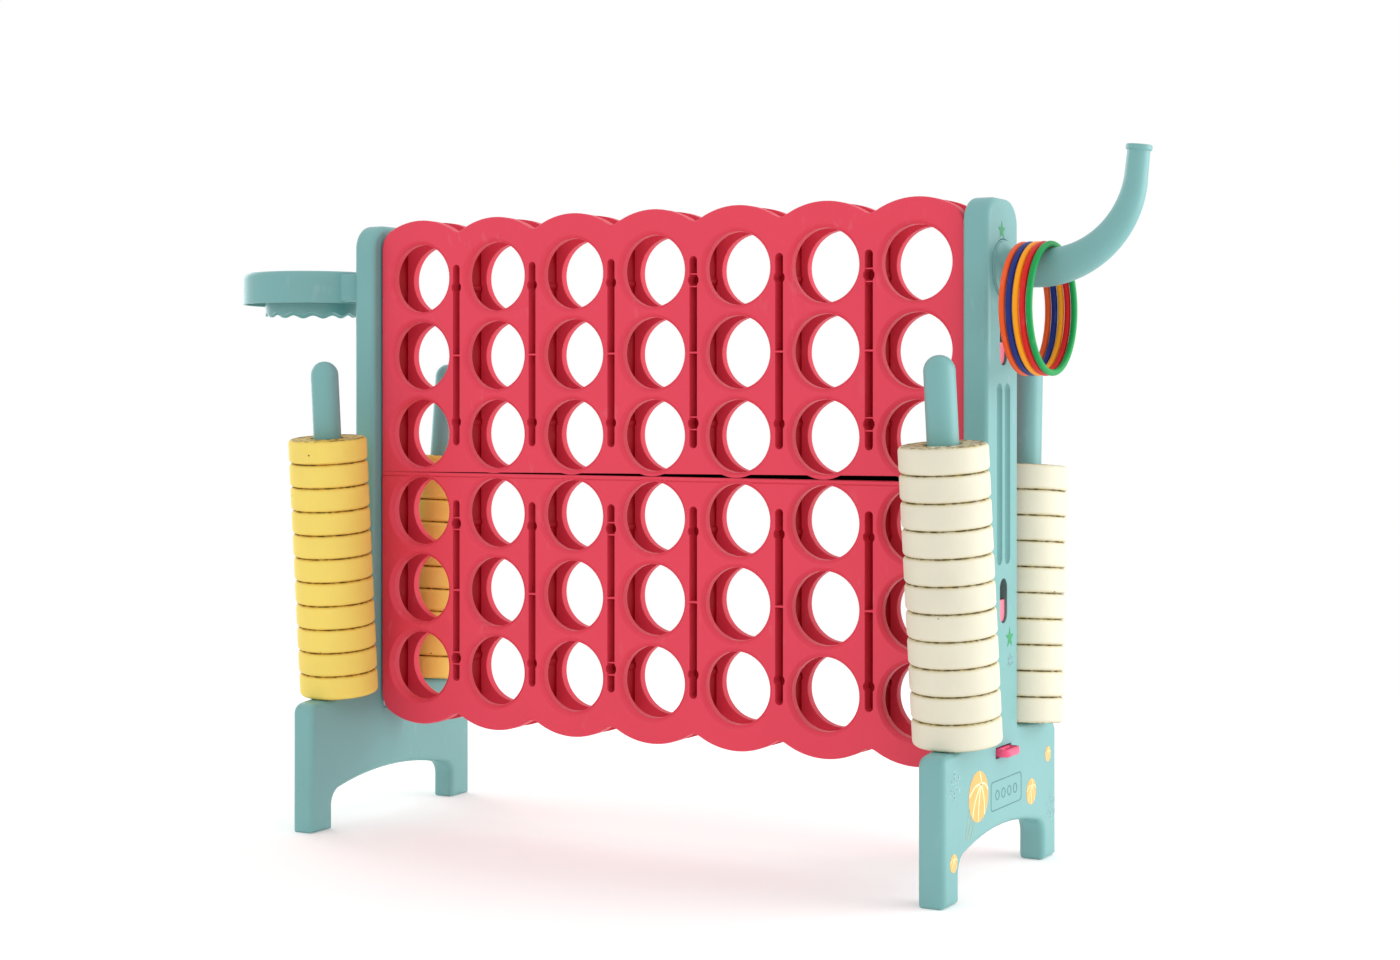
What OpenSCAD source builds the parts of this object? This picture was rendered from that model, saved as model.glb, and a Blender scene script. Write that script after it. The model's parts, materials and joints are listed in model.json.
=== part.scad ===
// Giant four-in-a-row floor game with a ball hoop on one side and a ring toss arm on the other.
// Millimetres. X runs along the board, -Y is the front and Z is up from the floor.
// The origin is on the floor under the middle of the whole object, hoop and arm included.

/* [Board] */
// Distance between two columns
column_pitch = 116; // [112:1:120]
// Distance between two rows
row_pitch = 100; // [99:0.5:102]
// Inner diameter of a round window
window_d = 87.4; // [80:0.2:92]
// Diameter of the bevelled rim of a window
window_rim_d = 97; // [94:0.5:98]
// Depth of the bevel of a window
window_bevel = 4.5; // [3:0.5:8]
// Depth of the board from front to back
board_depth = 63; // [58:0.5:66]
// Free space between the front and rear panels
disc_gap = 31.5; // [31:0.5:34]
// Height of the seam between the two halves of the board
seam_z = 450; // [449:0.5:452]
// Distance from the seam to the top of a scallop
crest_h = 325; // [322:1:328]
// Radius of a scallop
crest_r = 97; // [94:1:100]
// Radius of the hollow between two scallops
valley_r = 14; // [10:1:18]
// Radius of the outer corners of the board
corner_r = 28; // [22:1:32]
// Width of the upright slots between columns
slot_w = 10; // [8:0.5:11]
// Diameter of the round widenings of a slot
slot_eye_d = 14.5; // [13:0.5:16]
// Thickness of a column divider
divider_t = 12; // [11:0.5:14]

/* [Side frames] */
// Thickness of a side frame
frame_t = 32; // [30:1:36]
// Gap between the board and a side frame
frame_gap = 2; // [1:0.5:3]
// Half the depth of the base on the floor
base_half = 170; // [160:1:176]
// Width of a foot from front to back
foot_w = 42; // [34:1:46]
// Height of the arch between the feet
arch_h = 63; // [58:1:66]
// Half the depth of the post
post_half = 46; // [40:0.5:46.5]
// Height of the post
post_h = 771; // [760:1:775]
// Radius of the post's top corners
post_r = 30; // [24:1:36]
// Height of the arm and hoop sockets
socket_z = 691; // [688:1:698]
// Radius of the shallow recess round a socket
recess_r = 34; // [33:0.5:36]

/* [Disc poles] */
// Diameter of a pole
pole_d = 36; // [34:0.5:38]
// Length of a pole above the base, its round end included
pole_len = 426; // [410:1:440]
// Distance of a pole from the middle of the base
pole_y = 96; // [92:0.5:98]
// Lean of a pole away from the board, to the front or the rear
pole_lean = 5.2; // [3:0.1:6]
// Lean of a pole along the board, towards its middle
pole_lean_in = 0.8; // [0:0.1:1]

/* [Discs] */
// Diameter of a disc
disc_d = 98.5; // [96:0.5:99]
// Thickness of a disc
disc_t = 29.6; // [28:0.1:30]
// Diameter of the hole in a disc
disc_hole_d = 41.5; // [40.5:0.5:44]
// Rounding of a disc's outer edges
disc_edge_r = 5.5; // [3:0.5:8]
// Discs on each front pole
front_count = 11; // [1:1:11]
// Discs on each rear pole
rear_count = 10; // [1:1:10]

/* [Hoop] */
// Outer radius of the hoop
hoop_r = 92; // [86:1:94]
// Inner radius of the skirt that the ball drops through
skirt_r = 59; // [55:1:62]
// Height of the hoop's band
hoop_h = 42; // [38:1:46]
// Distance from the post to the hoop's middle
hoop_reach = 106; // [104:1:112]

/* [Ring toss] */
// Diameter of the arm at its root
arm_d = 44; // [42:1:44]
// Diameter of the arm at its tip
arm_tip_d = 25; // [24:1:30]
// Radius of the arm's bend
bend_r = 108; // [105:0.5:115]
// Turn of the arm from level, at its tip
bend_turn = 84; // [80:1:90]
// Outer diameter of a toss ring
ring_d = 151; // [145:1:155]
// Thickness of a toss ring
ring_t = 7.3; // [6:0.1:7.3]
// Distance between two rings as they hang
ring_pitch = 7.9; // [7.6:0.1:8]

/* [Hidden] */
$fn = 48;
teal = [0.55, 0.75, 0.74];
board_red = [0.87, 0.27, 0.38];
wall_red = [0.60, 0.03, 0.10];
tab_pink = [0.98, 0.43, 0.60];
yellow = [0.97, 0.83, 0.40];
cream = [0.93, 0.92, 0.84];
ring_names = ["ring_orange", "ring_blue", "ring_yellow", "ring_red", "ring_green"];
ring_colours = [[0.94, 0.42, 0.17], [0.13, 0.20, 0.55], [0.98, 0.66, 0.10], [0.86, 0.12, 0.12],
    [0.06, 0.62, 0.31]];

// Points on an arc, without the given number of points at each end
function arc(centre, r, from, to, steps, skip) = [for (i = [skip:steps - skip])
    let (turn = from + (to - from) * i / steps) centre + r * [cos(turn), sin(turn)]];
function numbered(stem, count) = [for (i = [1:count]) str(stem, i < 10 ? "_0" : "_", i)];
yellow_front = numbered("yellow_front", front_count);
yellow_rear = numbered("yellow_rear", rear_count);
cream_front = numbered("cream_front", front_count);
cream_rear = numbered("cream_rear", rear_count);

cut = 1;                // overshoot of a cutting tool past a face
columns = 7;
rows_per_half = 3;
shell_t = (board_depth - disc_gap) / 2;
end_margin = 3;         // board past the outer edge of the end columns
board_half = columns * column_pitch / 2 + end_margin;
end_x = (columns - 1) / 2 * column_pitch;
column_xs = [for (i = [0:columns - 1]) i * column_pitch - end_x];
divider_xs = [for (i = [1:columns - 1]) (i - columns / 2) * column_pitch];

// Scalloped edge of one half of the board, measured up from the seam
crest_c = crest_h - crest_r;
corner_x = board_half - corner_r;
corner_c = crest_c + sqrt(pow(crest_r - corner_r, 2) - pow(corner_x - end_x, 2));
valley_c = crest_c + sqrt(pow(crest_r + valley_r, 2) - pow(column_pitch / 2, 2));
corner_turn = atan2(corner_c - crest_c, corner_x - end_x);
valley_turn = atan2(valley_c - crest_c, column_pitch / 2);
half_edge = concat(
    [[-board_half, 0], [board_half, 0]],
    arc([corner_x, corner_c], corner_r, 0, corner_turn, 6, 0),
    [for (i = [columns - 1:-1:0]) each concat(
        arc([column_xs[i], crest_c], crest_r,
            i == columns - 1 ? corner_turn : valley_turn, 180 - (i == 0 ? corner_turn : valley_turn), 16, 1),
        i == 0 ? [] : arc([divider_xs[i - 1], valley_c], valley_r, -valley_turn, valley_turn - 180, 8, 0))],
    arc([-corner_x, corner_c], corner_r, 180 - corner_turn, 180, 6, 0));

// Slots between the columns, measured up from the seam
slot_lo = 35;
slot_hi = 266;
slot_eyes = [65, 237];
slot_rib_z = 150;
slot_rib_t = 2.4;
seam_groove_z = 4.6;    // measured down from the seam
seam_groove_w = 1;
seam_groove_depth = 1.2;
divider_h = 298;
boss_d = slot_eye_d + 1;
end_wall_t = 7.5;
end_wall_h = 290;

// Side frames
frame_x = board_half + frame_gap;
frame_out = frame_x + frame_t;
frame_mid = frame_x + frame_t / 2;
shoulder_z = 167.5;     // height of the base where a pole leaves it
base_r = 13;            // rounding of the base's upper corners
arch_half = base_half - foot_w;
arch_r = 480;           // crown of the arch
arch_corner_r = 20;
arch_c = arch_h - arch_r;
arch_corner_y = arch_half - arch_corner_r;
arch_corner_z = arch_c + sqrt(pow(arch_r - arch_corner_r, 2) - pow(arch_corner_y, 2));
arch_touch = arch_corner_y * arch_r / (arch_r - arch_corner_r);
recess_depth = 6;
socket_r = 20;
socket_depth = 26;
plug_gap = 0.3;         // clearance of a plug in its socket
pole_socket = 20;       // depth of a pole's spigot in the base
spigot_r = 12;
hook_zs = [291, 582];   // lower ends of the hook slots
hook_slot_w = 22;
hook_slot_h = 50.5;
groove_zs = [357, 562];
groove_r = 8.5;
groove_y = 12;
groove_depth = 7;

// Release slider
slider_z = 147;
slider_w = 43;
slider_t = 9;
slider_slot_w = 47;
slider_slot_h = 12;
rail_h = 6;
rail_t = 3;
rail_gap = 0.5;
peg_w = 14;
handle_reach = 14;
handle_r = 10;
grip_w = 27;
grip_h = 7;

// Hoop
hoop_x = -frame_out - hoop_reach;
hoop_z = socket_z - 22;
hoop_round = 9;
hoop_wall = 3.5;
skirt_z = hoop_z - 17;
waves = 14;
wave_r = 12;
wave_depth = 5.5;
neck_near = 34;         // half the neck's width at the post
neck_far = 48;          // half the neck's width at the band

// Ring toss arm
bend_x = frame_out + 47;
flange_r = recess_r - 0.7;
flare_r = 12;
tip_len = 29;           // straight end of the arm, below its lip
lip_r = 14.5;
lip_h = 6;
arm_steps = 18;
arm_sides = 24;
ring_first = 26;        // distance from the post to the first ring
ring_gap = 0.5;         // air between a hanging ring and the arm
ring_mid_r = (ring_d - ring_t) / 2;
ring_z = socket_z + arm_d / 2 + ring_gap - (ring_d / 2 - ring_t);

disc_pitch = disc_t + 0.3;
arm_reach = bend_x + (bend_r + lip_r) * sin(bend_turn) + (tip_len + lip_h) * cos(bend_turn);
centre_shift = (-hoop_x + hoop_r - arm_reach) / 2;

// Moves a piece from the board's middle to the middle of the whole object
module placed() {
    translate([centre_shift, 0, 0]) children();
}

// Draws a piece for the left (-1) or the right (1) side
module on_side(side) {
    mirror([side < 0 ? 1 : 0, 0, 0]) children();
}

// Stands an outline in (Y, Z) up at x and gives it a thickness along X
module upright(x, thickness) {
    translate([x, 0, 0]) rotate([90, 0, 90]) linear_extrude(thickness) children();
}

// Puts a piece on a pole, the given distance along it from the base
module on_pole(side, back, along) {
    translate([side * frame_mid, back * pole_y, shoulder_z])
        rotate([-back * pole_lean, -side * pole_lean_in, 0]) translate([0, 0, along]) children();
}

// Round-ended slot that stands on its lower end
module round_slot(w, h) {
    translate([-w / 2, w / 2]) square([w, h - w]);
    for (z = [w / 2, h - w / 2]) translate([0, z]) circle(d = w);
}

// Upright slot between two columns, bridged by a thin rib
module divider_slot() {
    difference() {
        union() {
            translate([0, slot_lo]) round_slot(slot_w, slot_hi - slot_lo);
            for (z = slot_eyes) translate([0, z]) circle(d = slot_eye_d);
        }
        translate([-slot_w, slot_rib_z - slot_rib_t / 2]) square([2 * slot_w, slot_rib_t]);
    }
}

// One panel: back is -1 for the front and 1 for the rear, up is 1 for the upper half
module shell(back, up) {
    color(board_red) placed() translate([0, 0, seam_z])
        mirror([0, back > 0 ? 1 : 0, 0]) mirror([0, 0, up < 0 ? 1 : 0])
        difference() {
            translate([0, -disc_gap / 2, 0]) rotate([90, 0, 0]) linear_extrude(shell_t)
                difference() {
                    polygon(half_edge);
                    for (x = divider_xs) translate([x, 0]) divider_slot();
                }
            for (x = column_xs, row = [1:rows_per_half])
                translate([x, -disc_gap / 2, (row - 0.5) * row_pitch]) rotate([90, 0, 0]) {
                    translate([0, 0, -cut]) cylinder(d = window_d, h = shell_t + 2 * cut);
                    translate([0, 0, shell_t - window_bevel])
                        cylinder(d1 = window_d, d2 = window_rim_d, h = window_bevel);
                }
            if (up < 0) seam_groove();
            if (back > 0 && up < 0) slider_groove();
        }
}

// Fine groove below the seam, cut in the outer face of a lower panel
module seam_groove() {
    translate([-board_half - cut, -board_depth / 2 - cut, seam_groove_z])
        cube([2 * (board_half + cut), seam_groove_depth + cut, seam_groove_w]);
}

// Groove for the slider's rail, cut in the inner face of the rear lower panel
module slider_groove() {
    translate([-board_half - cut, -disc_gap / 2 - rail_t - 2 * rail_gap,
        seam_z - slider_z - rail_h / 2 - rail_gap])
        cube([2 * (board_half + cut), rail_t + 2 * rail_gap + cut, rail_h + 2 * rail_gap]);
}

// Walls and screw bosses between the columns of one half, with the hooks that hang in the side frames
module dividers(up) {
    color(wall_red) placed() {
        for (x = divider_xs) {
            translate([x - divider_t / 2, -disc_gap / 2, seam_z - (up < 0 ? divider_h : 0)])
                cube([divider_t, disc_gap, divider_h]);
            for (z = slot_eyes) translate([x, disc_gap / 2, seam_z + up * z])
                rotate([90, 0, 0]) cylinder(d = boss_d, h = disc_gap);
        }
        for (side = [-1, 1]) on_side(side) {
            translate([board_half - end_wall_t, -disc_gap / 2, seam_z - (up < 0 ? end_wall_h : 0)])
                cube([end_wall_t - frame_gap / 2, disc_gap, end_wall_h]);
            upright(board_half - end_wall_t, end_wall_t + frame_gap + frame_t - 3)
                translate([0, up < 0 ? hook_zs[0] + 1 : hook_zs[1] + 1]) hook_outline();
        }
    }
}

// End view of a hook: flat on top and round below
module hook_outline() {
    hook_r = hook_slot_w / 2 - 1;
    translate([0, hook_r]) circle(r = hook_r);
    translate([-hook_r, hook_r]) square([2 * hook_r, hook_slot_h / 2 - hook_r]);
}

// Side view of a side frame
module frame_outline() {
    lean_slope = tan(pole_lean);
    base_c = base_half - base_r;
    base_c_z = shoulder_z - (base_c - pole_y) * lean_slope - base_r / cos(pole_lean);
    lip_y = base_c + base_r * sin(pole_lean);
    lip_z = base_c_z + base_r * cos(pole_lean);
    inner_z = shoulder_z + pole_y * lean_slope;
    difference() {
        union() {
            polygon([
                [-base_half, 0], [base_half, 0], [base_half, base_c_z], [lip_y, lip_z],
                [0, inner_z], [-lip_y, lip_z], [-base_half, base_c_z]]);
            for (y = [-base_c, base_c]) translate([y, base_c_z]) circle(r = base_r);
            translate([-post_half, arch_h + foot_w]) square([2 * post_half, post_h - post_r - arch_h - foot_w]);
            translate([post_r - post_half, socket_z]) square([2 * (post_half - post_r), post_h - socket_z]);
            for (y = [post_r - post_half, post_half - post_r])
                translate([y, post_h - post_r]) circle(r = post_r);
        }
        arch_cut();
    }
}

// Opening between the feet: straight sides, round corners and a shallow crown
module arch_cut() {
    translate([-arch_half, -cut]) square([2 * arch_half, arch_corner_z + cut]);
    for (y = [-arch_corner_y, arch_corner_y]) translate([y, arch_corner_z]) circle(r = arch_corner_r);
    intersection() {
        translate([0, arch_c]) circle(r = arch_r, $fn = 360);
        translate([-arch_touch, 0]) square([2 * arch_touch, arch_h + cut]);
    }
}

// Two upright hollows in the outer face of the post
module post_grooves() {
    for (y = [-groove_y, groove_y]) translate([frame_out - groove_depth + groove_r, y, 0]) {
        translate([0, 0, groove_zs[0] + groove_r])
            cylinder(r = groove_r, h = groove_zs[1] - groove_zs[0] - 2 * groove_r);
        for (z = [groove_zs[0] + groove_r, groove_zs[1] - groove_r])
            translate([0, 0, z]) sphere(r = groove_r);
    }
}

module side_frame(side) {
    color(teal) placed() on_side(side) difference() {
        upright(frame_x, frame_t) frame_outline();
        for (back = [-1, 1]) on_pole(1, back, -pole_socket)
            cylinder(r = spigot_r + plug_gap, h = pole_socket + cut);
        translate([frame_out - recess_depth, 0, socket_z]) rotate([0, 90, 0])
            cylinder(r = recess_r, h = recess_depth + cut);
        translate([frame_out - socket_depth, 0, socket_z]) rotate([0, 90, 0])
            cylinder(r = socket_r, h = socket_depth + cut);
        for (z = hook_zs) upright(frame_x - cut, frame_t + 2 * cut)
            translate([0, z]) round_slot(hook_slot_w, hook_slot_h);
        post_grooves();
        translate([frame_x - cut, -slider_slot_w / 2, slider_z - slider_slot_h / 2])
            cube([frame_t + 2 * cut, slider_slot_w, slider_slot_h]);
    }
}

// Two round-ended poles that hold a stack of discs each, with their spigots
module poles(side) {
    color(teal) placed() for (back = [-1, 1]) on_pole(side, back, 0) {
        translate([0, 0, plug_gap - pole_socket]) cylinder(r = spigot_r, h = pole_socket + cut);
        translate([0, 0, plug_gap]) cylinder(d = pole_d, h = pole_len - pole_d / 2 - plug_gap);
        translate([0, 0, pole_len - pole_d / 2]) sphere(d = pole_d);
    }
}

// One disc, the given number of places up its pole
module disc(side, back, place) {
    color(side < 0 ? yellow : cream) placed()
        on_pole(side, back, disc_pitch * place + disc_pitch - disc_t / 2) rotate_extrude() {
        inner = disc_hole_d / 2;
        outer = disc_d / 2;
        translate([inner, disc_edge_r - disc_t / 2]) square([outer - inner, disc_t - 2 * disc_edge_r]);
        translate([inner, -disc_t / 2]) square([outer - inner - disc_edge_r, disc_t]);
        for (z = [disc_edge_r - disc_t / 2, disc_t / 2 - disc_edge_r])
            translate([outer - disc_edge_r, z]) circle(r = disc_edge_r);
    }
}

// Bar under the columns: a peg stops each column until the handle is pulled out
module release_slider() {
    rail_y = disc_gap / 2 + rail_gap;
    color(tab_pink) placed() {
        translate([2 - frame_out, rail_y, slider_z - rail_h / 2])
            cube([2 * frame_out - frame_t, rail_t, rail_h]);
        for (x = column_xs)
            translate([x - peg_w / 2, rail_gap - disc_gap / 2, slider_z - rail_h / 2])
                cube([peg_w, disc_gap, rail_h]);
        translate([0, 0, slider_z - slider_t / 2]) linear_extrude(slider_t) handle_outline();
    }
}

// D-shaped handle with a finger hole, seen from above
module handle_outline() {
    handle_end = frame_out + handle_reach;
    difference() {
        union() {
            translate([frame_x + 2, -slider_w / 2])
                square([handle_end - handle_r - frame_x - 2, slider_w]);
            translate([handle_end - handle_r - cut, handle_r - slider_w / 2])
                square([handle_r + cut, slider_w - 2 * handle_r]);
            for (y = [handle_r - slider_w / 2, slider_w / 2 - handle_r])
                translate([handle_end - handle_r, y]) circle(r = handle_r);
        }
        translate([frame_out + 1.5, -grip_w / 2]) square([grip_h, grip_w]);
    }
}

// Section of the hoop: band, top and skirt in one bent wall
module hoop_section() {
    width = hoop_r - skirt_r;
    difference() {
        union() {
            translate([skirt_r, hoop_z]) square([width, hoop_h - hoop_round]);
            translate([skirt_r, hoop_z]) square([width - hoop_round, hoop_h]);
            translate([hoop_r - hoop_round, hoop_z + hoop_h - hoop_round]) circle(r = hoop_round);
            translate([skirt_r, skirt_z]) square([hoop_wall, hoop_z - skirt_z + cut]);
        }
        translate([skirt_r + hoop_wall, hoop_z - cut])
            square([width - 2 * hoop_wall, hoop_h - hoop_wall + cut]);
    }
}

// Ball hoop with its neck and the plug that goes into the left post
module hoop() {
    color(teal) placed() {
        difference() {
            translate([hoop_x, 0, 0]) rotate_extrude($fn = 96) hoop_section();
            for (i = [0:waves - 1]) translate([hoop_x, 0, skirt_z - wave_r + wave_depth])
                rotate([0, 90, i * 360 / waves]) translate([0, 0, skirt_r - 4])
                cylinder(r = wave_r, h = 12);
        }
        difference() {
            translate([0, 0, hoop_z]) linear_extrude(hoop_h - hoop_wall)
                polygon([
                    [-frame_out, -neck_near], [-frame_out, neck_near],
                    [hoop_x + hoop_r / 2, neck_far], [hoop_x + hoop_r / 2, -neck_far]]);
            translate([hoop_x, 0, hoop_z - cut]) cylinder(r = hoop_r - hoop_wall / 2, h = hoop_h, $fn = 96);
        }
        on_side(-1) socket_plug();
    }
}

// Plug and flange that fill a socket, on the right side
module socket_plug() {
    translate([frame_out - socket_depth + 2, 0, socket_z]) rotate([0, 90, 0])
        cylinder(r = socket_r - plug_gap, h = socket_depth);
    translate([frame_out - recess_depth, 0, socket_z]) rotate([0, 90, 0])
        cylinder(r = flange_r, h = recess_depth + 1);
}

function bend_angle(step) = bend_turn * min(1, step / (arm_steps - 1));
function arm_radius(step) = (arm_d - (arm_d - arm_tip_d) * step / arm_steps) / 2;
function arm_centre(step) =
    let (a = bend_angle(step), ahead = step < arm_steps ? 0 : tip_len)
    [bend_x + bend_r * sin(a) + ahead * cos(a), 0, socket_z + bend_r * (1 - cos(a)) + ahead * sin(a)];

// Tapered bend of the arm, swept ring by ring
module arm_bend() {
    points = [for (step = [0:arm_steps], side = [0:arm_sides - 1])
        let (turn = side * 360 / arm_sides, a = bend_angle(step), r = arm_radius(step))
        arm_centre(step) + r * [-cos(turn) * sin(a), sin(turn), cos(turn) * cos(a)]];
    walls = [for (step = [0:arm_steps - 1], side = [0:arm_sides - 1])
        let (next = (side + 1) % arm_sides, row = step * arm_sides)
        [row + side, row + next, row + arm_sides + next, row + arm_sides + side]];
    root_end = [for (side = [0:arm_sides - 1]) arm_sides - 1 - side];
    tip_end = [for (side = [0:arm_sides - 1]) arm_steps * arm_sides + side];
    polyhedron(points = points, faces = concat(walls, [root_end], [tip_end]));
}

// Curved arm that the rings are thrown at, with its plug, flare and lip
module ring_arm() {
    flare_end = frame_out + 1 + flare_r;
    color(teal) placed() {
        socket_plug();
        translate([frame_out + 1, 0, socket_z]) rotate([0, 90, 0]) rotate_extrude()
            difference() {
                square([arm_d / 2 + flare_r - 0.5, flare_r]);
                translate([arm_d / 2 + flare_r, flare_r]) circle(r = flare_r);
            }
        translate([flare_end - cut, 0, socket_z]) rotate([0, 90, 0])
            cylinder(d = arm_d, h = bend_x - flare_end + 2 * cut);
        arm_bend();
        translate(arm_centre(arm_steps)) rotate([0, 90 - bend_turn, 0]) translate([0, 0, -cut])
            cylinder(r = lip_r, h = lip_h + cut);
    }
}

// One toss ring as it hangs on the arm
module toss_ring(place) {
    color(ring_colours[place]) placed()
        translate([frame_out + ring_first + place * ring_pitch, 0, ring_z]) rotate([0, 90, 0])
        rotate_extrude($fn = 96) translate([ring_mid_r, 0]) circle(d = ring_t);
}

side_frame(-1);  // left_frame
side_frame(1);  // right_frame
poles(-1);  // left_poles
poles(1);  // right_poles
shell(-1, 1);  // front_upper_shell
shell(-1, -1);  // front_lower_shell
shell(1, 1);  // rear_upper_shell
shell(1, -1);  // rear_lower_shell
dividers(1);  // upper_dividers
dividers(-1);  // lower_dividers
release_slider();
hoop();
ring_arm();
for (i = [0:len(ring_names) - 1])
    toss_ring(i);
for (i = [0:front_count - 1]) {
    disc(-1, -1, i);
    disc(1, -1, i);
}
for (i = [0:rear_count - 1]) {
    disc(-1, 1, i);
    disc(1, 1, i);
}
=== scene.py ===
import json
import math

import bmesh
import bpy
from mathutils import Matrix, Vector


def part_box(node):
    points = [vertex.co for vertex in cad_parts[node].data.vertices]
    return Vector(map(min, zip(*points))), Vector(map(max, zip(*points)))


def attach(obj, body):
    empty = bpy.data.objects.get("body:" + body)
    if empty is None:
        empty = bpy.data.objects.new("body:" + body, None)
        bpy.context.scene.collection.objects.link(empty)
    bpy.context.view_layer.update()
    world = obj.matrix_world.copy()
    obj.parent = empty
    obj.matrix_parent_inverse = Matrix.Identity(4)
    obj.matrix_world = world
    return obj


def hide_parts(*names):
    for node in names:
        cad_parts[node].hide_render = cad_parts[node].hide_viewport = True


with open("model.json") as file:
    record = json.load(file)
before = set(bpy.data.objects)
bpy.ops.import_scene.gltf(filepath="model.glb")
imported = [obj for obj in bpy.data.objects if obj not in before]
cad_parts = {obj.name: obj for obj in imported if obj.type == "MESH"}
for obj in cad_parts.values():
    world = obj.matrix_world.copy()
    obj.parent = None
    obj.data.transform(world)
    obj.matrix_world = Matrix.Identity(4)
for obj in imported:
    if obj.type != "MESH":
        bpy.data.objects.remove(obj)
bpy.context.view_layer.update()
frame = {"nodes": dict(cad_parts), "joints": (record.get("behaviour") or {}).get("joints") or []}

bl_info = {
    "name": "Lawn Game Set",
    "version": (1, 0, 0),
    "blender": (4, 5, 0),
    "location": "View3D > Sidebar > Lawn Game",
    "description": "Drop-disc board with a ball hoop, a ring toss arm, hanging rings and stored discs",
    "category": "Add Mesh",
}

MM = 0.001

# Places taken from the frame
PANEL_LOW, PANEL_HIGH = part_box("front_upper_shell")
HOOP_LOW, HOOP_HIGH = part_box("hoop")
POST_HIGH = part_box("right_frame")[1]
LEFT_POST_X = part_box("left_frame")[0].x
POLE_TOP_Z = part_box("left_poles")[1].z
MID_X = (PANEL_LOW.x + PANEL_HIGH.x) / 2
SEAM_Z = PANEL_LOW.z
COLUMNS = 7
COLUMN_PITCH = (PANEL_HIGH.x - PANEL_LOW.x - 6 * MM) / COLUMNS
DIVIDER_XS = [MID_X + (i - COLUMNS / 2) * COLUMN_PITCH for i in range(1, COLUMNS)]
ARM_Z = next(j for j in frame["joints"] if j["name"] == "orange_ring_swing")["pos_m"][2]
RING_NAMES = ["ring_orange", "ring_blue", "ring_yellow", "ring_red", "ring_green"]
SHELLS = ["front_upper_shell", "front_lower_shell", "rear_upper_shell", "rear_lower_shell"]
DISCS = sorted(n for n in frame["nodes"] if n.startswith(("yellow_", "cream_")))

# Where the CAD's board and posts have their parts, in metres
ROW_PITCH = 0.1
CREST_FROM_SEAM = 0.228     # centres of the scallops, above and below the seam
CREST_MIN_RADIUS = 0.09     # anything nearer to those centres isn't a scallop
SIDE_FROM_MIDDLE = 0.4085   # the board's upright sides start here
WINDOW_REACH = 0.0492       # a window with its rim
HOOKS_FROM_MIDDLE = 0.411   # the dividers' hooks start here
HOOK_EDGES_FROM_MIDDLE = 0.412
HOOK_SLOT_ZS = [0.31625, 0.60725]
BASE_TOP_Z = 0.128
OPENINGS_HALF = 0.038       # the posts' openings are no wider than this from their middle
RIB_OFFSETS = (57.5 * MM, 72.5 * MM, 229.5 * MM, 244.5 * MM)
RIBBED_ABOVE = (3, 5)       # dividers with ribs in the slots above the seam
RIBBED_BELOW = (0, 2)


# Settings

def srgb(red, green, blue):
    """Colour values from 0 to 255, as the linear colour that the shaders use."""
    def channel(value):
        share = value / 255
        return share / 12.92 if share <= 0.04045 else ((share + 0.055) / 1.055) ** 2.4
    return (channel(red), channel(green), channel(blue), 1.0)


def length(name, description, default):
    return bpy.props.FloatProperty(
        name=name, description=description, default=default, min=0.0, unit="LENGTH")


def colour(name, description, default):
    return bpy.props.FloatVectorProperty(
        name=name, description=description, default=default, size=4, min=0, max=1, subtype="COLOR")


class MouldingSettings(bpy.types.PropertyGroup):
    """Edges of the moulded pieces."""
    frame_edge: length("Frame Edge", "Rounding of a side frame's outline", 7 * MM)
    panel_edge: length("Panel Edge", "Rounding of a panel's scalloped outline", 3 * MM)
    window_edge: length("Window Edge", "Rounding at the rim of a round window", 1.1 * MM)
    small_edge: length("Small Edge", "Rounding of slots, grooves and sockets", 0.7 * MM)
    seam_edge: length("Seam Edge", "Rounding of a panel along the seam", 0.5 * MM)


class DiscSettings(bpy.types.PropertyGroup):
    """The stored discs and their poles."""
    thickness: length("Thickness", "Thickness of a disc", 29.6 * MM)
    hole: length("Hole", "Diameter of the hole in a disc", 41.5 * MM)
    edge: length("Edge", "Rounding of a disc's outer edges", 5.2 * MM)
    pole: length("Pole", "Diameter of a pole at its foot", 36 * MM)
    pole_tip: length("Pole Tip", "Diameter of a pole under its round end", 35 * MM)


class HoopSettings(bpy.types.PropertyGroup):
    """The ball hoop."""
    skirt: length("Skirt", "Inner radius of the skirt", 59 * MM)
    wall: length("Wall", "Thickness of the hoop's wall", 3.5 * MM)
    rounding: length("Rounding", "Rounding of the band's upper edge", 9 * MM)
    wave: length("Wave", "Height of the skirt's waves", 4 * MM)
    waves: bpy.props.IntProperty(name="Waves", description="Waves round the skirt", default=14, min=3)


class TossSettings(bpy.types.PropertyGroup):
    """The ring toss arm and its rings."""
    root: length("Root", "Diameter of the arm at the post", 44 * MM)
    tip: length("Tip", "Diameter of the arm under its lip", 25 * MM)
    bend: length("Bend", "Radius of the arm's bend", 108 * MM)
    turn: bpy.props.FloatProperty(
        name="Turn", description="Turn of the arm from level to its tip", default=math.radians(84),
        subtype="ANGLE")
    end: length("End", "Length of the straight end of the arm", 29 * MM)
    lip: length("Lip", "Diameter of the arm's lip", 29 * MM)
    flange: length("Flange", "Radius of the arm's flange", 33.3 * MM)


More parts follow.
